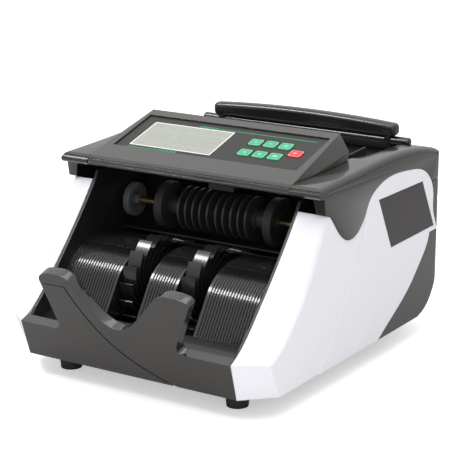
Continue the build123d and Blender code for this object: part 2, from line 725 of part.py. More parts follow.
def hopper_floor():
    """Sloping floor with roller windows and cross slots for the two note guides."""
    sheet = plan(polygon((-91.6, 0), (91.6, 0), (91.6, 82), (87.2, 89), (-87.2, 89), (-91.6, 82)), -2, 0)
    for side in (-1, 1):
        for x in PICKUP_X:
            sheet -= block(*sorted((side * x - 6.5, side * x + 6.5)), -1, 27, -5, 5)
        sheet -= block(*sorted((side * 56, side * 84.5)), GUIDE_SLOT_Y - 2.2, GUIDE_SLOT_Y + 2.2, -5, 5)
    ramp = slab(band([(0, -1), (-8, -2.2), (-14.5, -7.0), (-18.0, -14.0)], -1, 1), -91.6, 91.6)
    for side in (-1, 1):
        for x in PICKUP_X:
            ramp -= block(*sorted((side * x - 6.5, side * x + 6.5)), -20, 1, -30, 5)
    return floor_plane() * (sheet + ramp)


def note_guide():
    """Right note guide: an upright fence with a foot that runs in the floor's cross slot."""
    fence = block(79.0, 81.2, 22, 50, 0.25, 11.6)
    foot = block(79.0, 83.0, GUIDE_SLOT_Y - 1.9, GUIDE_SLOT_Y + 1.9, -2.25, 0.25)
    shoe = block(76.0, 86.0, GUIDE_SLOT_Y - 5, GUIDE_SLOT_Y + 5, -4.0, -2.25)
    return floor_plane() * (fence + foot + shoe)


def note_support():
    """Folding back plate of the hopper with a thick rounded bead along its top."""
    y, z = HINGE_AXIS
    arch = 3.4
    top = face(
        ("line", [(-91.5, 168.0), (91.5, 168.0), (91.5, 179.0)]),
        ("curve", [(91.5, 179.0), (0, 179.0 + arch), (-91.5, 179.0)]),
        ("line", [(-91.5, 179.0), (-91.5, 168.0)]),
    )
    bead = extrude(Plane.XZ.offset(-y - 6.0) * top, amount=12.0)
    bead = fillet(bead.edges(), 4.0)
    plate = block(-86.5, 86.5, y - 2.2, y + 2.2, 157.2, 168.5)
    lugs = [block(*sorted((side * 81, side * 86.5)), y - 4.2, y + 4.2, 158.4, 168.5) for side in (-1, 1)]
    return bead + plate + lugs - rod(4.0, -100, 100, (y, z))


def hinge_rod():
    """Rod that the note support folds on; its rounded ends lie in notches of the upper cover."""
    bar = rod(3.95, -103.8, 103.8, HINGE_AXIS)
    return fillet(bar.edges().filter_by(GeomType.CIRCLE), 2.0)


# ---- console ----
def console_plane():
    """Local y runs up the console's slope from its front edge and z stands square to the face."""
    return Pos(0, *CONSOLE_FRONT) * Rot(CONSOLE_SLOPE, 0, 0)


def console_housing():
    """Wedge-shaped operator console with creased sides, a ridged front lip and an overlay recess."""
    front = Plane.XZ.offset(-CONSOLE_FRONT[0]) * polygon(
        (-96.1, 156.6), (96.1, 156.6), (96.1, 160.6), (96.1, CONSOLE_FRONT[1]), (-96.1, CONSOLE_FRONT[1]),
        (-96.1, 160.6))
    rear = Plane.XZ.offset(-CONSOLE_REAR[0]) * polygon(
        (-97.5, 160.0), (97.5, 160.0), (99.3, 174.6), (90.8, CONSOLE_REAR[1]), (-90.8, CONSOLE_REAR[1]),
        (-99.3, 174.6))
    wedge = loft([front, rear], ruled=True)
    lip = slab(face(
        ("line", [(84.0, 156.6), (79.2, 156.6), (77.4, 157.8), (77.7, 159.2), (78.5, 159.4), (78.3, 160.6),
                  (78.7, 161.9), (79.7, 162.1), (79.6, 163.1), (CONSOLE_FRONT[0], CONSOLE_FRONT[1]),
                  (84.0, 164.6), (84.0, 156.6)]),
    ), -96.1, 96.1)
    body = wedge + lip
    inner_front = Plane.XZ.offset(-84.6) * polygon((-94, 140), (94, 140), (94, 162.6), (-94, 162.6))
    inner_rear = Plane.XZ.offset(-162.3) * polygon((-94, 140), (94, 140), (88.5, 185.1), (-88.5, 185.1))
    body -= loft([inner_front, inner_rear], ruled=True)
    recess = block(-87.4, 87.4, 21.0, 77.0, -OVERLAY_SINK - 0.6, 5)
    left, right, front_s, back_s = SCREEN
    opening = block(left + 2, right - 2, front_s + 2, back_s - 2, -10, 5)
    cuts = [recess, opening] + [key_hole(x, s) for x, s in key_places()]
    for cut in cuts:
        body -= console_plane() * cut
    body -= cover_shadow()
    return largest(body + console_plane() * console_posts())


def console_posts():
    """Short posts under the face that carry the keypad board and the screen module."""
    left, right, front_s, back_s = SCREEN
    posts = [console_block(x, s, (3.4, 3.4), -7.95, -1.9) for x in (22.4, 80.6) for s in (28.4, 65.6)]
    posts += [console_block(x, s, (2.4, 2.4), -3.55, -1.9)
              for x in (left - 2.4, right + 2.2) for s in (front_s - 1.6, back_s + 1.6)]
    return Compound(children=posts)


def cover_shadow():
    """The space taken by the upper cover's top on both sides of the console."""
    top = [(y, z + 0.15) for y, z in COVER_TOP]
    low = [top[-1], (279, 100), (70, 100), (70, 164.6), top[0]]
    return both_sides(slab(face(("curve", top), ("line", low)), 95.9, 130))


def key_places():
    places = [(x, s) for s in KEY_ROWS[::-1] for x in KEY_COLUMNS]
    return places + [RED_KEY]


def console_block(x, s, size, low, high):
    """A block centred at (x, s) in the console's plane, between two heights."""
    width, depth = size
    return block(x - width / 2, x + width / 2, s - depth / 2, s + depth / 2, low, high)


def key_hole(x, s):
    return console_block(x, s, (KEY_SIZE[0] + 0.4, KEY_SIZE[1] + 0.4), -10, 5)


def console_overlay():
    """Thin printed panel in the console's recess, open for the screen and the keys."""
    sheet = block(-87.0, 87.0, 21.4, 76.6, -OVERLAY_SINK - 0.6, -OVERLAY_SINK)
    left, right, front_s, back_s = SCREEN
    sheet -= block(left, right, front_s, back_s, -5, 5)
    for x, s in key_places():
        sheet -= key_hole(x, s)
    return console_plane() * sheet


def screen_window():
    left, right, front_s, back_s = SCREEN
    pane = block(left + 0.2, right - 0.2, front_s + 0.2, back_s - 0.2,
                 -OVERLAY_SINK - 0.6, -OVERLAY_SINK + 0.05)
    return console_plane() * pane


def screen_module():
    """Liquid-crystal module under the console's face, with its backlight frame."""
    left, right, front_s, back_s = SCREEN
    return console_plane() * block(left - 4, right + 4, front_s - 3, back_s + 3, -9.4, -3.6)


def key_cap(x, s):
    """One key: a cap with a wider skirt that keeps it under the face, on a short stem."""
    cap = console_block(x, s, KEY_SIZE, -3.9, -0.3)
    upright = cap.edges().filter_by(Axis.Z)
    cap = fillet(upright, 2.0)
    rim = cap.faces().sort_by(Axis.Z)[-1].edges()
    cap = fillet(rim, 0.5)
    skirt = block(x - 6.4, x + 6.4, s - 5.7, s + 5.7, -5.0, -3.9)
    stem = Pos(x, s, -5.6) * Cylinder(1.6, 1.2)
    return console_plane() * (cap + skirt + stem)


def console_board():
    """Keypad circuit board with one tact switch under each key."""
    board = block(20, 83, 26, 68, -9.6, -8.0)
    for x, s in key_places():
        board += Pos(x, s, -7.5) * Box(6, 6, 1.0)
        board += Pos(x, s, -6.95) * Cylinder(1.5, 0.3)
    return console_plane() * board


# ---- drives and electrics ----
ROCKER_AXIS = (279.4, 77.1)
ROCKER_TILT = 8.0
TRUNNION_RADIUS = 1.2


def motor(x_from, x_to, radius, axis):
    """Can motor with a front boss and a blind bore for its shaft."""
    can = rod(radius, x_from, x_to, axis)
    can = fillet(can.edges().filter_by(GeomType.CIRCLE), 1.5)
    return can


def feed_motor():
    can = motor(38, 94.9, 18, FEED_MOTOR_AXIS) + rod(6, 94.0, FRAME_OUTER, FEED_MOTOR_AXIS)
    return can - rod(2.05, 80, 110, FEED_MOTOR_AXIS)


def feed_motor_pulley():
    """Motor shaft and pulley in one turning piece."""
    return pulley(MOTOR_PULLEY_RADIUS, 1.0, PULLEY_X, FEED_MOTOR_AXIS) + rod(2.0, 82, 112, FEED_MOTOR_AXIS)


def stack_motor():
    can = motor(-94.9, -50, 15, STACK_MOTOR_AXIS) + rod(6, -FRAME_OUTER, -94.0, STACK_MOTOR_AXIS)
    return can - rod(2.05, -110, -80, STACK_MOTOR_AXIS)


def stack_motor_pulley():
    x = -PULLEY_X - PULLEY_WIDTH
    return pulley(MOTOR_PULLEY_RADIUS, 1.0, x, STACK_MOTOR_AXIS) + rod(2.0, -112, -82, STACK_MOTOR_AXIS)


def feed_belt():
    return belt(FEED_AXIS, FEED_PULLEY_RADIUS, FEED_MOTOR_AXIS, MOTOR_PULLEY_RADIUS, PULLEY_X)


def pickup_belt():
    return belt(FEED_AXIS, 8.0, PICKUP_AXIS, 8.0, SECOND_X)


def stack_belt():
    x = -PULLEY_X - PULLEY_WIDTH
    return belt(STACK_AXIS, STACK_PULLEY_RADIUS, STACK_MOTOR_AXIS, MOTOR_PULLEY_RADIUS, x)


def transformer():
    """Mains transformer: laminated core, bobbin winding and mounting feet."""
    core = block(-82, -26, 196, 236, 24, 66) - block(-72, -36, 190, 240, 33, 57)
    winding = block(-72, -36, 190, 242, 33, 57)
    base = block(-90, -18, 202, 222, TRAY_TOP + 0.1, 24)
    return core + winding + base


def main_board():
    """Controller board standing across the back, with chips, capacitors and a relay."""
    board = block(-88, 88, 258, 259.6, 34.5, 122)
    chips = ((-40, 92, 22, 22, 2.2), (10, 98, 16, 10, 2), (48, 92, 30, 12, 9), (-60, 48, 26, 14, 9))
    for x, z, w, h, t in chips:
        board += block(x - w / 2, x + w / 2, 258 - t, 258, z - h / 2, z + h / 2)
    for x, z in ((40, 52), (58, 52), (22, 62)):
        board += Pos(x, 251, z) * Rot(90, 0, 0) * Cylinder(5.5, 14)
    holes = [Pos(x, 259, z) * Rot(90, 0, 0) * Cylinder(1.7, 6) for x in (-84, 84) for z in (40, 114)]
    return board - holes


def power_inlet():
    """Three-pin appliance inlet in the back recess."""
    flange = block(-91, -58, 281.5, 283.6, 65.6, 88.6)
    body = block(-88, -61, 264, 281.5, 67.6, 86.6)
    socket = block(-86, -63, 268, 290, 69.6, 84.6)
    places = ((-80, 75.5), (-69, 75.5), (-74.5, 79.5))
    pins = [block(x - 1, x + 1, 268, 281, z - 2, z + 2) for x, z in places]
    return flange + body - socket + pins


def power_switch_frame():
    """Frame of the mains switch with the sockets that the rocker's trunnions turn in."""
    frame = block(-54.6, -36.4, 281.5, 283.2, 64, 90)
    body = block(-52, -39, 266, 281.5, 66.5, 87.7)
    body -= block(-50.6, -40.4, 270, 290, 68, 86.2)
    sockets = rod(TRUNNION_RADIUS + RUNNING_GAP, -51.4, -39.6, ROCKER_AXIS)
    return frame - block(-50.6, -40.4, 270, 290, 68, 86.2) + body - sockets


def power_rocker():
    """Rocker of the mains switch on two trunnions; it rests tipped to the off side."""
    profile = face(
        ("curve", [(283.6, 69.4), (282.6, 77.1), (283.6, 84.8)]),
        ("line", [(283.6, 84.8), (279.0, 84.2), (276.4, 77.1), (279.0, 70.0), (283.6, 69.4)]),
    )
    cap = slab(profile, -50.2, -40.8)
    y, z = ROCKER_AXIS
    tilt = Pos(0, y, z) * Rot(-ROCKER_TILT, 0, 0) * Pos(0, -y, -z)
    return tilt * cap + rod(TRUNNION_RADIUS, -51.2, -39.8, ROCKER_AXIS)


# ---- the assembly ----
def nodes():
    parts = {
        "base_tray": base_tray(),
        "rubber_feet": feet(),
        "case_screws": case_screws(),
        "front_cover": front_cover(),
        "right_side_panel": right_side_panel(),
        "left_side_panel": mirrored(side_panel()),
        "upper_cover": upper_cover(),
        "rear_cover": rear_cover(),
        "right_side_frame": side_frame(),
        "left_side_frame": mirrored(side_frame()),
        "shaft_bushes": shaft_bushes(),
        "side_display_window": side_display_window(),
        "side_display_board": side_display_board(),
        "console_housing": console_housing(),
        "console_overlay": console_overlay(),
        "screen_window": screen_window(),
        "screen_module": screen_module(),
        "console_board": console_board(),
        "hopper_floor": hopper_floor(),
        "right_note_guide": note_guide(),
        "left_note_guide": mirrored(note_guide()),
        "note_support": note_support(),
        "hinge_rod": hinge_rod(),
        "stacker_guide": stacker_guide(),
        "stripper_clips": stripper_clips(),
        "left_stacker_wheel": left_stacker_wheel(),
        "right_stacker_wheel": right_stacker_wheel(),
        "stack_shaft": stack_shaft(),
        "stack_pulley": stack_pulley(),
        "feed_shaft": feed_shaft(),
        "feed_drum": feed_drum(),
        "feed_tyres": feed_tyres(),
        "end_rollers": end_rollers(),
        "feed_pulleys": feed_pulleys(),
        "pinch_rollers": pinch_rollers(),
        "pickup_shaft": pickup_shaft(),
        "pickup_rollers": pickup_rollers(),
        "pickup_pulley": pickup_pulley(),
        "rear_guide": rear_guide(),
        "note_sensors": note_sensors(),
        "uv_lamp": uv_lamp(),
        "separator": separator(),
        "separator_pad": separator_pad(),
        "feed_motor": feed_motor(),
        "feed_motor_pulley": feed_motor_pulley(),
        "stack_motor": stack_motor(),
        "stack_motor_pulley": stack_motor_pulley(),
        "drive_belts": [feed_belt(), pickup_belt(), stack_belt()],
        "transformer": transformer(),
        "main_board": main_board(),
        "power_inlet": power_inlet(),
        "power_switch_frame": power_switch_frame(),
        "power_rocker": power_rocker(),
    }
    for i, (x, s) in enumerate(key_places()[:-1]):
        parts[f"green_key_{i + 1}"] = key_cap(x, s)
    parts["red_key"] = key_cap(*RED_KEY)
    return parts


def main():
    os.makedirs("parts", exist_ok=True)
    for name, shape in nodes().items():
        solids = []
        for piece in (shape if isinstance(shape, list) else [shape]):
            solids += piece.solids()
        moved = [Pos(0, -CENTRE_Y, 0) * solid for solid in solids]
        export_step(Compound(children=moved) if len(moved) > 1 else moved[0], f"parts/{name}.step")


main()
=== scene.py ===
import math

import bpy
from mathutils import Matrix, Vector


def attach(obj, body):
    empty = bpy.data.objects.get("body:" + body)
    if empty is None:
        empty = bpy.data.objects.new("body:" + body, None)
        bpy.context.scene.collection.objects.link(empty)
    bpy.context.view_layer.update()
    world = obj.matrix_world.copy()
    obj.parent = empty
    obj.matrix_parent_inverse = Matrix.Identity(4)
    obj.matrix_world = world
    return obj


# Looks of the banknote counter: finishes on the CAD pieces, printed details, studio and camera.
# Places on the machine are in mm with y counted from the front cover's foot, as in the CAD source.

MM = 0.001
CENTRE_Y = 130.3              # from the front cover's foot to the frame's origin

# ---- places on the machine ----
CONSOLE_FRONT = (0, 81.9, 164.6)    # middle of the console's front top edge
CONSOLE_SLOPE = math.radians(16.15)
SIDE_WINDOW_FACE = 122.1      # x of the side display window's outer face
TRAY_FOOT = 17.0              # z of the base tray's underside
ROCKER_MIDDLE = (-45.5, 279.4, 77.1)
ROCKER_TILT = math.radians(8)
ROCKER_DEPTH = 3.2            # from the rocker's axis to the middle of its hollow face
ROCKER_HALF = 7.7             # half the rocker's height, where its face stands 1 mm further out
OVERLAY_TOP = -1.2            # heights above the console's plane
SCREEN_TOP = -1.15
KEY_TOP = -0.3
KEY_COLUMNS = (30.0, 44.0, 58.0)
KEY_ROWS = (56.2, 38.5)
RED_KEY = (72.3, 47.0)

# ---- looks ----
EDGE = 0.8 * MM               # how round the moulded corners look
KEY_EDGE = 0.3 * MM
COAT_ROUGHNESS = 0.05
TINT_SPREAD = 0.015           # how far a finish's colour wanders either way
BEVEL_SAMPLES = 4
MERGE = 0.002 * MM            # vertices closer than this are one
FLAT_ANGLE = math.radians(0.4)      # faces within this angle are one flat face
SHARP_ANGLE = math.radians(32)      # edges above this angle are rounded

# ---- studio ----
HORIZON_LEVEL = 0.40          # how brightly the surroundings light the machine, level with it
ZENITH_LEVEL = 1.15           # and straight above it
FLOOR_WIDTH = 30.0
FLOOR_WHITE = 0.9
FLOOR_IN_GLOSS = 0.40         # the floor's colour as glossy faces mirror it
FLOOR_GLOW = 0.45             # added for the camera, so that the floor meets the white backdrop

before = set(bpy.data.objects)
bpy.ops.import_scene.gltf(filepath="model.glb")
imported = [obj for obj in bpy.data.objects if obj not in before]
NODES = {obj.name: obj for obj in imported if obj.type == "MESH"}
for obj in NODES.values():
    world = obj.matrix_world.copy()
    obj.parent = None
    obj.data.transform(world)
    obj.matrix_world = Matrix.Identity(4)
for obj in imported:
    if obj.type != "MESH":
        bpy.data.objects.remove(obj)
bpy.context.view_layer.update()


# ---- materials ----
class Graph:
    """Small helper for building a material's node tree."""

    def __init__(self, name):
        self.material = bpy.data.materials.new(name)
        self.material.use_nodes = True
        self.tree = self.material.node_tree
        self.shader = self.tree.nodes["Principled BSDF"]
        self.place = self.add("ShaderNodeTexCoord").outputs["Object"]

    def add(self, kind, **inputs):
        node = self.tree.nodes.new(kind)
        for key, value in inputs.items():
            self.set(node.inputs[key.replace("_", " ")], value)
        return node

    def set(self, socket, value):
        if isinstance(value, bpy.types.NodeSocket):
            self.tree.links.new(value, socket)
        else:
            socket.default_value = value

    def noise(self, scale, detail=3.0):
        node = self.add("ShaderNodeTexNoise", Vector=self.place, Scale=scale, Detail=detail)
        return node.outputs["Fac"]

    def span(self, value, low, high):
        node = self.add("ShaderNodeMapRange", Value=value)
        node.inputs["To Min"].default_value = low
        node.inputs["To Max"].default_value = high
        return node.outputs["Result"]

    def bump(self, height, strength, distance, edge=0.0):
        """Fine relief; a sharp corner catches the light as if rounded by the edge radius."""
        node = self.add("ShaderNodeBump", Height=height, Strength=strength, Distance=distance)
        if edge:
            soft = self.add("ShaderNodeBevel", Radius=edge)
            soft.samples = BEVEL_SAMPLES
            self.set(node.inputs["Normal"], soft.outputs["Normal"])
        self.set(self.shader.inputs["Normal"], node.outputs["Normal"])


def surface(name, colour, rough, spread, grain, depth, metal=0.0, coat=0.0, edge=0.0):
    """A solid finish: colour, roughness (by spread) and height (by depth, in m) vary finely."""
    g = Graph(name)
    shade = g.add("ShaderNodeMixRGB", Fac=g.noise(30.0))
    shade.inputs["Color1"].default_value = (*[c * (1 - TINT_SPREAD) for c in colour], 1)
    shade.inputs["Color2"].default_value = (*[min(c * (1 + TINT_SPREAD), 1) for c in colour], 1)
    g.set(g.shader.inputs["Base Color"], shade.outputs["Color"])
    g.set(g.shader.inputs["Roughness"], g.span(g.noise(140.0, 4.0), rough - spread, rough + spread))
    g.set(g.shader.inputs["Metallic"], metal)
    g.set(g.shader.inputs["Coat Weight"], coat)
    g.set(g.shader.inputs["Coat Roughness"], COAT_ROUGHNESS)
    g.bump(g.noise(grain, 2.0), 0.5, depth, edge)
    return g.material


def tinted_glass(name, colour, rough, alpha):
    """A smooth finish that lets part of what lies behind it through."""
    g = Graph(name)
    g.set(g.shader.inputs["Base Color"], (*colour, 1))
    g.set(g.shader.inputs["Roughness"], g.span(g.noise(60.0), rough, rough + 0.05))
    g.set(g.shader.inputs["Alpha"], alpha)
    g.bump(g.noise(200.0), 0.2, 0.00001)
    return g.material


# Each line gives the colour, roughness, its spread, the grain's fineness and its depth.
DARK = surface("dark shell", (0.027, 0.0245, 0.0222), 0.15, 0.015, 900.0, 0.000001,
               coat=0.8, edge=EDGE)
WHITE = surface("white shell", (0.84, 0.835, 0.885), 0.30, 0.012, 900.0, 0.000001,
                coat=0.2, edge=EDGE)
FRAME_BLACK = surface("black frame", (0.012, 0.012, 0.013), 0.42, 0.06, 1100.0, 0.00003)
GLOSS_BLACK = surface("gloss black", (0.012, 0.012, 0.013), 0.20, 0.02, 900.0, 0.000001,
                      coat=0.5, edge=EDGE)
OVERLAY = surface("printed film", (0.020, 0.019, 0.018), 0.38, 0.04, 2200.0, 0.00001)
SCREEN = surface("display glass", (0.33, 0.345, 0.30), 0.12, 0.02, 300.0, 0.000002, coat=0.6)
GHOST = surface("unlit segments", (0.305, 0.32, 0.278), 0.16, 0.02, 300.0, 0.000002, coat=0.6)
SMOKED = surface("smoked window", (0.022, 0.020, 0.019), 0.16, 0.03, 400.0, 0.000002, coat=0.2)
DIM_RED = surface("dim red segments", (0.055, 0.017, 0.017), 0.18, 0.03, 400.0, 0.000002, coat=0.2)
GREEN = surface("green key", (0.055, 0.38, 0.20), 0.38, 0.05, 1500.0, 0.00002, edge=KEY_EDGE)
RED = surface("red key", (0.66, 0.04, 0.05), 0.38, 0.05, 1500.0, 0.00002, edge=KEY_EDGE)
GREEN_INK = surface("green print", (0.015, 0.34, 0.15), 0.45, 0.05, 1800.0, 0.000005)
PALE_INK = surface("pale print", (0.80, 0.82, 0.78), 0.45, 0.05, 1800.0, 0.000005)
MINT_INK = surface("mint print", (0.30, 0.66, 0.47), 0.45, 0.05, 1800.0, 0.000005)
PINK_INK = surface("pink print", (0.90, 0.42, 0.40), 0.45, 0.05, 1800.0, 0.000005)
RUBBER = surface("rubber", (0.030, 0.030, 0.031), 0.55, 0.08, 1000.0, 0.00005)
DISC = surface("drum plastic", (0.034, 0.034, 0.035), 0.36, 0.06, 800.0, 0.00002)
GREY = surface("grey plastic", (0.12, 0.125, 0.13), 0.45, 0.06, 900.0, 0.00003)
STEEL = surface("steel", (0.55, 0.54, 0.52), 0.28, 0.08, 700.0, 0.00002, metal=1.0)
BRONZE = surface("bronze", (0.52, 0.36, 0.18), 0.34, 0.08, 900.0, 0.00003, metal=1.0)
ZINC = surface("zinc", (0.55, 0.55, 0.53), 0.36, 0.10, 350.0, 0.00003, metal=1.0)
BOARD = surface("circuit board", (0.015, 0.11, 0.045), 0.40, 0.08, 260.0, 0.00005)
CHIP = surface("chip plastic", (0.015, 0.015, 0.016), 0.50, 0.05, 700.0, 0.00002)
CORE = surface("transformer core", (0.06, 0.06, 0.07), 0.5, 0.08, 400.0, 0.00006, metal=0.5)
WINDING = surface("winding tape", (0.60, 0.38, 0.05), 0.42, 0.08, 300.0, 0.00004)
LENS = surface("red lens", (0.70, 0.03, 0.02), 0.20, 0.04, 500.0, 0.00001, coat=0.5)
LAMP = tinted_glass("lamp glass", (0.10, 0.06, 0.30), 0.10, 0.85)
FINGER = surface("finger plastic", (0.016, 0.016, 0.018), 0.20, 0.04, 800.0, 0.00001, coat=0.4)

FINISH = {
    "base_tray": ZINC, "rubber_feet": RUBBER, "case_screws": ZINC, "front_cover": DARK,
    "right_side_panel": WHITE, "left_side_panel": WHITE, "upper_cover": DARK, "rear_cover": DARK,
    "right_side_frame": FRAME_BLACK, "left_side_frame": FRAME_BLACK, "shaft_bushes": BRONZE,
    "side_display_window": SMOKED, "side_display_board": BOARD, "console_housing": DARK,
    "console_overlay": OVERLAY, "screen_window": SCREEN, "screen_module": GREY,
    "console_board": BOARD, "hopper_floor": GLOSS_BLACK, "hinge_rod": GLOSS_BLACK,
    "stacker_guide": GLOSS_BLACK, "stripper_clips": STEEL, "rear_guide": FRAME_BLACK,
    "note_sensors": LENS, "uv_lamp": LAMP, "separator": FRAME_BLACK, "separator_pad": RUBBER,
    "feed_motor": STEEL, "stack_motor": STEEL, "drive_belts": RUBBER, "transformer": CORE,
    "main_board": BOARD, "power_inlet": FRAME_BLACK, "power_switch_frame": FRAME_BLACK,
    "feed_shaft": BRONZE, "feed_drum": DISC,
    "feed_tyres": RUBBER, "end_rollers": GREY, "feed_pulleys": GREY, "pickup_shaft": STEEL,
    "pickup_rollers": RUBBER, "pickup_pulley": GREY, "pinch_rollers": RUBBER,
    "feed_motor_pulley": GREY, "stack_shaft": STEEL, "left_stacker_wheel": FINGER,
    "right_stacker_wheel": FINGER, "stack_pulley": GREY, "stack_motor_pulley": GREY,
    "note_support": GLOSS_BLACK, "right_note_guide": FRAME_BLACK, "left_note_guide": FRAME_BLACK,
    "power_rocker": GLOSS_BLACK, "red_key": RED,
}

for name, node in NODES.items():
    node.data.materials.clear()
    node.data.materials.append(FINISH.get(name, GREEN))     # the six green keys aren't listed

# Parts of a CAD piece with a finish of their own: the faces whose middles lie in a box, given by
# its lowest and its highest x, y and z.
PAINTED = [
    ("main_board", CHIP, (-90, 240, 20), (90, 257.9, 130)),             # components
    ("main_board", ZINC, (33, 248.5, 86), (63, 257.9, 98.5)),           # relay's metal case
    ("transformer", WINDING, (-72.5, 188, 32), (-35.5, 195.9, 58)),     # coil in front of the core
    ("transformer", WINDING, (-72.5, 236.1, 32), (-35.5, 243, 58)),     # and behind it
    ("power_inlet", STEEL, (-81.5, 268.5, 73), (-67.5, 281.2, 82)),     # pins
    ("note_sensors", STEEL, (-10, 150, 110), (10, 170, 120)),           # magnetic head
    ("side_display_board", CHIP, (117.8, 207.5, 99), (121, 240.5, 129)),    # display module
    ("feed_motor", CHIP, (37, 186, 42), (40.5, 226, 82)),               # end caps of the motors
    ("stack_motor", CHIP, (-52.5, 135, 30), (-49, 169, 66)),
]


def paint(node, material, low, high):
    mesh = NODES[node].data
    mesh.materials.append(material)
    index = len(mesh.materials) - 1
    for polygon in mesh.polygons:
        x, y, z = polygon.center / MM
        spot = (x, y + CENTRE_Y, z)
        if all(a <= value <= b for a, value, b in zip(low, spot, high)):
            polygon.material_index = index


for detail in PAINTED:
    paint(*detail)

# ---- mesh edges of the mouldings ----
MOULDINGS = {     # how far the bevel reaches from an edge
    "console_housing": 0.6, "upper_cover": 0.5, "rear_cover": 0.4, "right_side_panel": 0.5,
    "left_side_panel": 0.5, "front_cover": 1.0, "right_side_frame": 0.3, "left_side_frame": 0.3,
    "note_support": 0.4, "console_overlay": 0.15, "power_inlet": 0.3, "power_switch_frame": 0.3,
    "right_note_guide": 0.4, "left_note_guide": 0.4,
}


def soften(node, width):
    """Round a moulding's sharp edges in the mesh: merge its flat triangles, then bevel."""
    obj = NODES[node]
    weld = obj.modifiers.new("weld", "WELD")
    weld.merge_threshold = MERGE
    flat = obj.modifiers.new("flat", "DECIMATE")
    flat.decimate_type = "DISSOLVE"
    flat.angle_limit = FLAT_ANGLE
    bevel = obj.modifiers.new("bevel", "BEVEL")
    bevel.width = width * MM
    bevel.segments = 2
    bevel.limit_method = "ANGLE"
    bevel.angle_limit = SHARP_ANGLE


for name, width in MOULDINGS.items():
    soften(name, width)


# ---- details drawn on the machine ----
def plane(origin, across, up):
    """A function that turns (a, b, height) on a flat face of the machine into a point."""
    across, up = Vector(across), Vector(up)
    out = across.cross(up)
    base = Vector(origin) - Vector((0, CENTRE_Y, 0))
    return lambda a, b, height: (base + across * a + up * b + out * height) * MM


CONSOLE = plane(CONSOLE_FRONT, (1, 0, 0), (0, math.cos(CONSOLE_SLOPE), math.sin(CONSOLE_SLOPE)))
SIDE = plane((SIDE_WINDOW_FACE, 0, 0), (0, 1, 0), (0, 0, 1))
UNDERSIDE = plane((0, 0, TRAY_FOOT), (-1, 0, 0), (0, 1, 0))


def rocker_face(a, b, height):
    """A spot on the rocker's hollow face as seen from behind, b up from its middle."""
    x, y, z = ROCKER_MIDDLE
    depth = ROCKER_DEPTH + (b / ROCKER_HALF) ** 2 + height
    y += depth * math.cos(ROCKER_TILT) + b * math.sin(ROCKER_TILT)
    z += b * math.cos(ROCKER_TILT) - depth * math.sin(ROCKER_TILT)
    return Vector((x - a, y - CENTRE_Y, z)) * MM


class Sheet:
    """Flat shapes of one thickness on a face of the machine, gathered into one piece.

    The shapes reach from the height low to the height high above the face.
    """

    def __init__(self, place, low, high):
        self.place, self.low, self.high = place, low, high
        self.points, self.faces = [], []

    def layer(self, outline, height):
        """Add an outline's points at a height and return their numbers."""
        first = len(self.points)
        self.points += [self.place(a, b, height) for a, b in outline]
        return list(range(first, first + len(outline)))

    def wall(self, one, two):
        """Join two layers of the same outline with a ring of faces."""
        for i in range(len(one)):
            j = (i + 1) % len(one)
            self.faces.append((one[i], one[j], two[j], two[i]))

    def fill(self, outline):
        bottom, top = self.layer(outline, self.low), self.layer(outline, self.high)
        self.faces += [bottom[::-1], top]
        self.wall(bottom, top)

    def frame(self, outer, inner):
        outer_low = self.layer(outer, self.low)
        outer_high = self.layer(outer, self.high)
        inner_low = self.layer(inner, self.low)
        inner_high = self.layer(inner, self.high)
        self.wall(outer_low, outer_high)
        self.wall(outer_high, inner_high)
        self.wall(inner_high, inner_low)
        self.wall(inner_low, outer_low)

    def build(self, name, material, body):
        """Make the piece and let it move with a body."""
        mesh = bpy.data.meshes.new(name)
        mesh.from_pydata(self.points, [], self.faces)
        mesh.materials.append(material)
        obj = bpy.data.objects.new(name, mesh)
        bpy.context.scene.collection.objects.link(obj)
        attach(obj, body)


def rounded(a, b, width, height, radius, steps=4):
    """A rectangle with round corners about (a, b)."""
    points = []
    for corner, (side_a, side_b) in enumerate(((1, 1), (-1, 1), (-1, -1), (1, -1))):
        middle_a = a + side_a * (width / 2 - radius)
        middle_b = b + side_b * (height / 2 - radius)
        for i in range(steps + 1):
            angle = math.radians(90 * (corner + i / steps))
            points.append((middle_a + radius * math.cos(angle),
                           middle_b + radius * math.sin(angle)))
    return points


def bar(a_from, a_to, b_from, b_to, lean=0.0):
    """A straight or slanted bar; lean moves its top sideways."""
    return [(a_from, b_from), (a_to, b_from), (a_to + lean, b_to), (a_from + lean, b_to)]


def digit(a, b, width, height, thick, lean=0.0):
    """The seven pointed segments of a display digit with its lower left corner at (a, b).

    The lean is how far the digit moves sideways for each mm of height.
    """
    half = height / 2
    tip, body, wide = thick * 0.15, thick * 0.65, thick / 2
    lines = [((0, 0), (width, 0)), ((0, half), (width, half)), ((0, height), (width, height))]
    lines += [((x, y), (x, y + half)) for x in (0, width) for y in (0, half)]
    segments = []
    for (x0, y0), (x1, y1) in lines:
        length = math.hypot(x1 - x0, y1 - y0)
        ux, uy = (x1 - x0) / length, (y1 - y0) / length
        marks = [(tip, 0), (body, -wide), (length - body, -wide), (length - tip, 0),
                 (length - body, wide), (body, wide)]
        spots = [(x0 + ux * t - uy * w, y0 + uy * t + ux * w) for t, w in marks]
        segments.append([(a + x + lean * y, b + y) for x, y in spots])
    return segments


def console_print():
    """Two green lines that end in a slanted hatch."""
    sheet = Sheet(CONSOLE, OVERLAY_TOP, OVERLAY_TOP + 0.08)
    sheet.fill(bar(-13.0, 79.0, 69.2, 70.0))
    sheet.fill(bar(-75.2, -45.1, 23.4, 24.2))
    for start, middle in ((-32.4, 69.9), (-45.0, 24.3)):
        for i in range(5):
            left = start + 3.7 * i
            sheet.fill(bar(left, left + 2.0, middle - 1.3, middle + 1.3, 1.3))
    sheet.build("console_print", GREEN_INK, "housing")


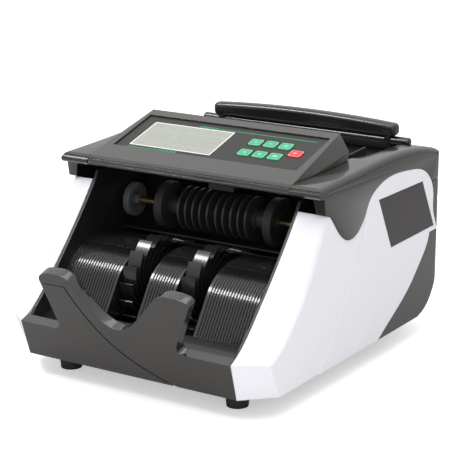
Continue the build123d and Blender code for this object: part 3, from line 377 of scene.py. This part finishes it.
def screen_frame():
    """Pale printed border of the main screen."""
    sheet = Sheet(CONSOLE, OVERLAY_TOP, OVERLAY_TOP + 0.18)
    sheet.frame(rounded(-36.0, 47.3, 78.6, 40.6, 0.6), rounded(-36.0, 47.3, 76.6, 38.6, 0.3))
    sheet.build("screen_frame", PALE_INK, "housing")


def screen_segments():
    """Unlit segments of the main display: a large count, a small one and a row of marks."""
    sheet = Sheet(CONSOLE, SCREEN_TOP, SCREEN_TOP + 0.03)
    for i in range(4):
        for segment in digit(-41.0 + 10.4 * i, 38.0, 6.6, 15.0, 1.5, 0.1):
            sheet.fill(segment)
    for i in range(3):
        for segment in digit(-68.0 + 7.0 * i, 40.0, 4.2, 9.0, 1.0, 0.1):
            sheet.fill(segment)
    for i in range(6):
        sheet.fill(rounded(-66.0 + 11.6 * i, 61.5, 7.4, 2.2, 0.6))
        sheet.fill(rounded(-66.0 + 11.6 * i, 32.4, 5.0, 1.6, 0.5))
    sheet.build("screen_segments", GHOST, "housing")


def key_symbols():
    """Plain marks for the seven keys, drawn about (0, 0)."""
    cross = [(-0.4, -1.6), (0.4, -1.6), (0.4, -0.4), (1.6, -0.4), (1.6, 0.4), (0.4, 0.4),
             (0.4, 1.6), (-0.4, 1.6), (-0.4, 0.4), (-1.6, 0.4), (-1.6, -0.4), (-0.4, -0.4)]
    return [
        [cross],
        [bar(-1.6, 1.6, -0.4, 0.4)],
        [bar(-2.0, 2.0, 0.7, 1.3), bar(-2.0, 2.0, -0.3, 0.3), bar(-2.0, 2.0, -1.3, -0.7)],
        [[(-1.8, -1.1), (1.8, -1.1), (0, 1.5)]],
        [[(0, -1.5), (1.8, 1.1), (-1.8, 1.1)]],
        [bar(-1.9, -0.3, -1.4, 1.4), bar(0.3, 1.9, -1.4, 1.4)],
        [bar(-2.2, -1.5, -1.4, 1.4), [(-0.9, -1.4), (1.9, 0), (-0.9, 1.4)]],
    ]


def key_prints():
    """A thin light border and a mark on every key; they move with the key."""
    places = [(x, s) for s in KEY_ROWS for x in KEY_COLUMNS] + [RED_KEY]
    bodies = [f"green_key_{i + 1}" for i in range(6)] + ["red_key"]
    for (x, s), body, symbol in zip(places, bodies, key_symbols()):
        sheet = Sheet(CONSOLE, KEY_TOP - 0.02, KEY_TOP + 0.05)
        sheet.frame(rounded(x, s, 10.3, 8.9, 1.5), rounded(x, s, 9.5, 8.1, 1.2))
        for outline in symbol:
            sheet.fill([(x + a, s + b) for a, b in outline])
        sheet.build(f"{body}_print", PINK_INK if body == "red_key" else MINT_INK, body)


def side_digits():
    """Two unlit digits behind the smoked side window."""
    sheet = Sheet(SIDE, 0.0, 0.03)
    for left in (213.0, 229.0):
        for segment in digit(left, 105.0, 9.0, 18.0, 1.6, 0.08):
            sheet.fill(segment)
    sheet.build("side_digits", DIM_RED, "housing")


def rocker_marks():
    """On and off marks of the mains switch."""
    sheet = Sheet(rocker_face, 0.0, 0.08)
    sheet.fill(rounded(0, 4.6, 0.7, 3.0, 0.3))
    sheet.frame(rounded(0, -4.6, 3.0, 3.0, 1.49), rounded(0, -4.6, 1.9, 1.9, 0.94))
    sheet.build("rocker_marks", PALE_INK, "rocker")


def rating_plate():
    """Border and ruled lines of a blank rating plate on the underside."""
    sheet = Sheet(UNDERSIDE, 0.0, 0.25)
    sheet.frame(rounded(0, 120, 60, 32, 2.0), rounded(0, 120, 57.6, 29.6, 1.4))
    for i in range(5):
        sheet.fill(bar(-25, 25 - 7 * (i % 2), 109.0 + 5 * i, 109.6 + 5 * i))
    sheet.build("rating_plate", ZINC, "housing")


console_print()
screen_frame()
screen_segments()
key_prints()
side_digits()
rocker_marks()
rating_plate()


# ---- stage ----
def area(name, place, target, size, watts):
    """A rectangular lamp at a place, in metres, that shines at a target."""
    light = bpy.data.lights.new(name, "AREA")
    light.shape = "RECTANGLE"
    light.size, light.size_y = size
    light.energy = watts
    lamp = bpy.data.objects.new(name, light)
    lamp.location = place
    lamp.rotation_euler = (Vector(target) - Vector(place)).to_track_quat("-Z", "Y").to_euler()
    bpy.context.scene.collection.objects.link(lamp)


def build_floor():
    bpy.ops.mesh.primitive_plane_add(size=FLOOR_WIDTH, location=(0, 0, 0))
    floor = bpy.context.object
    g = Graph("floor")
    rays = g.add("ShaderNodeLightPath").outputs
    colour = g.span(rays["Is Glossy Ray"], FLOOR_WHITE, FLOOR_IN_GLOSS)
    g.set(g.shader.inputs["Base Color"], colour)
    g.set(g.shader.inputs["Roughness"], g.span(g.noise(4.0), 0.55, 0.65))
    g.set(g.shader.inputs["Emission Color"], (1, 1, 1, 1))
    g.set(g.shader.inputs["Emission Strength"], g.span(rays["Is Camera Ray"], 0.0, FLOOR_GLOW))
    floor.data.materials.append(g.material)


def build_world():
    """Surroundings that brighten upwards; the camera itself sees plain white."""
    world = bpy.data.worlds.new("studio")
    world.use_nodes = True
    nodes, links = world.node_tree.nodes, world.node_tree.links
    nodes["Background"].inputs["Color"].default_value = (1, 1, 1, 1)
    height = nodes.new("ShaderNodeSeparateXYZ")
    links.new(nodes.new("ShaderNodeTexCoord").outputs["Generated"], height.inputs["Vector"])
    level = nodes.new("ShaderNodeMapRange")
    level.inputs["To Min"].default_value = HORIZON_LEVEL
    level.inputs["To Max"].default_value = ZENITH_LEVEL
    links.new(height.outputs["Z"], level.inputs["Value"])
    pick = nodes.new("ShaderNodeMix")
    links.new(nodes.new("ShaderNodeLightPath").outputs["Is Camera Ray"], pick.inputs["Factor"])
    links.new(level.outputs["Result"], pick.inputs["A"])
    pick.inputs["B"].default_value = 1.0
    links.new(pick.outputs["Result"], nodes["Background"].inputs["Strength"])
    bpy.context.scene.world = world


def build_lights():
    area("overhead", (0.1, -0.1, 1.3), (0, 0, 0.05), (1.2, 1.0), 6)
    area("front", (0.9, -1.7, 0.7), (0, 0, 0.08), (0.9, 0.7), 3.6)
    area("strip", (-0.62, -0.49, 1.02), (0, -0.083, 0.08), (0.6, 0.14), 5)
    bpy.context.scene.view_settings.view_transform = "Standard"


def build_camera():
    azimuth, elevation, distance = math.radians(32.57), math.radians(15.66), 1.361
    target = Vector((19.74, 120.0 - CENTRE_Y, 105.05)) * MM
    level = math.cos(elevation)
    away = Vector((math.sin(azimuth) * level, -math.cos(azimuth) * level, math.sin(elevation)))
    data = bpy.data.cameras.new("camera")
    data.sensor_width = 36
    data.lens = 129.0
    camera = bpy.data.objects.new("camera", data)
    camera.location = target + away * distance
    camera.rotation_euler = (-away).to_track_quat("-Z", "Y").to_euler()
    bpy.context.scene.collection.objects.link(camera)
    bpy.context.scene.camera = camera


build_floor()
build_world()
build_lights()
build_camera()
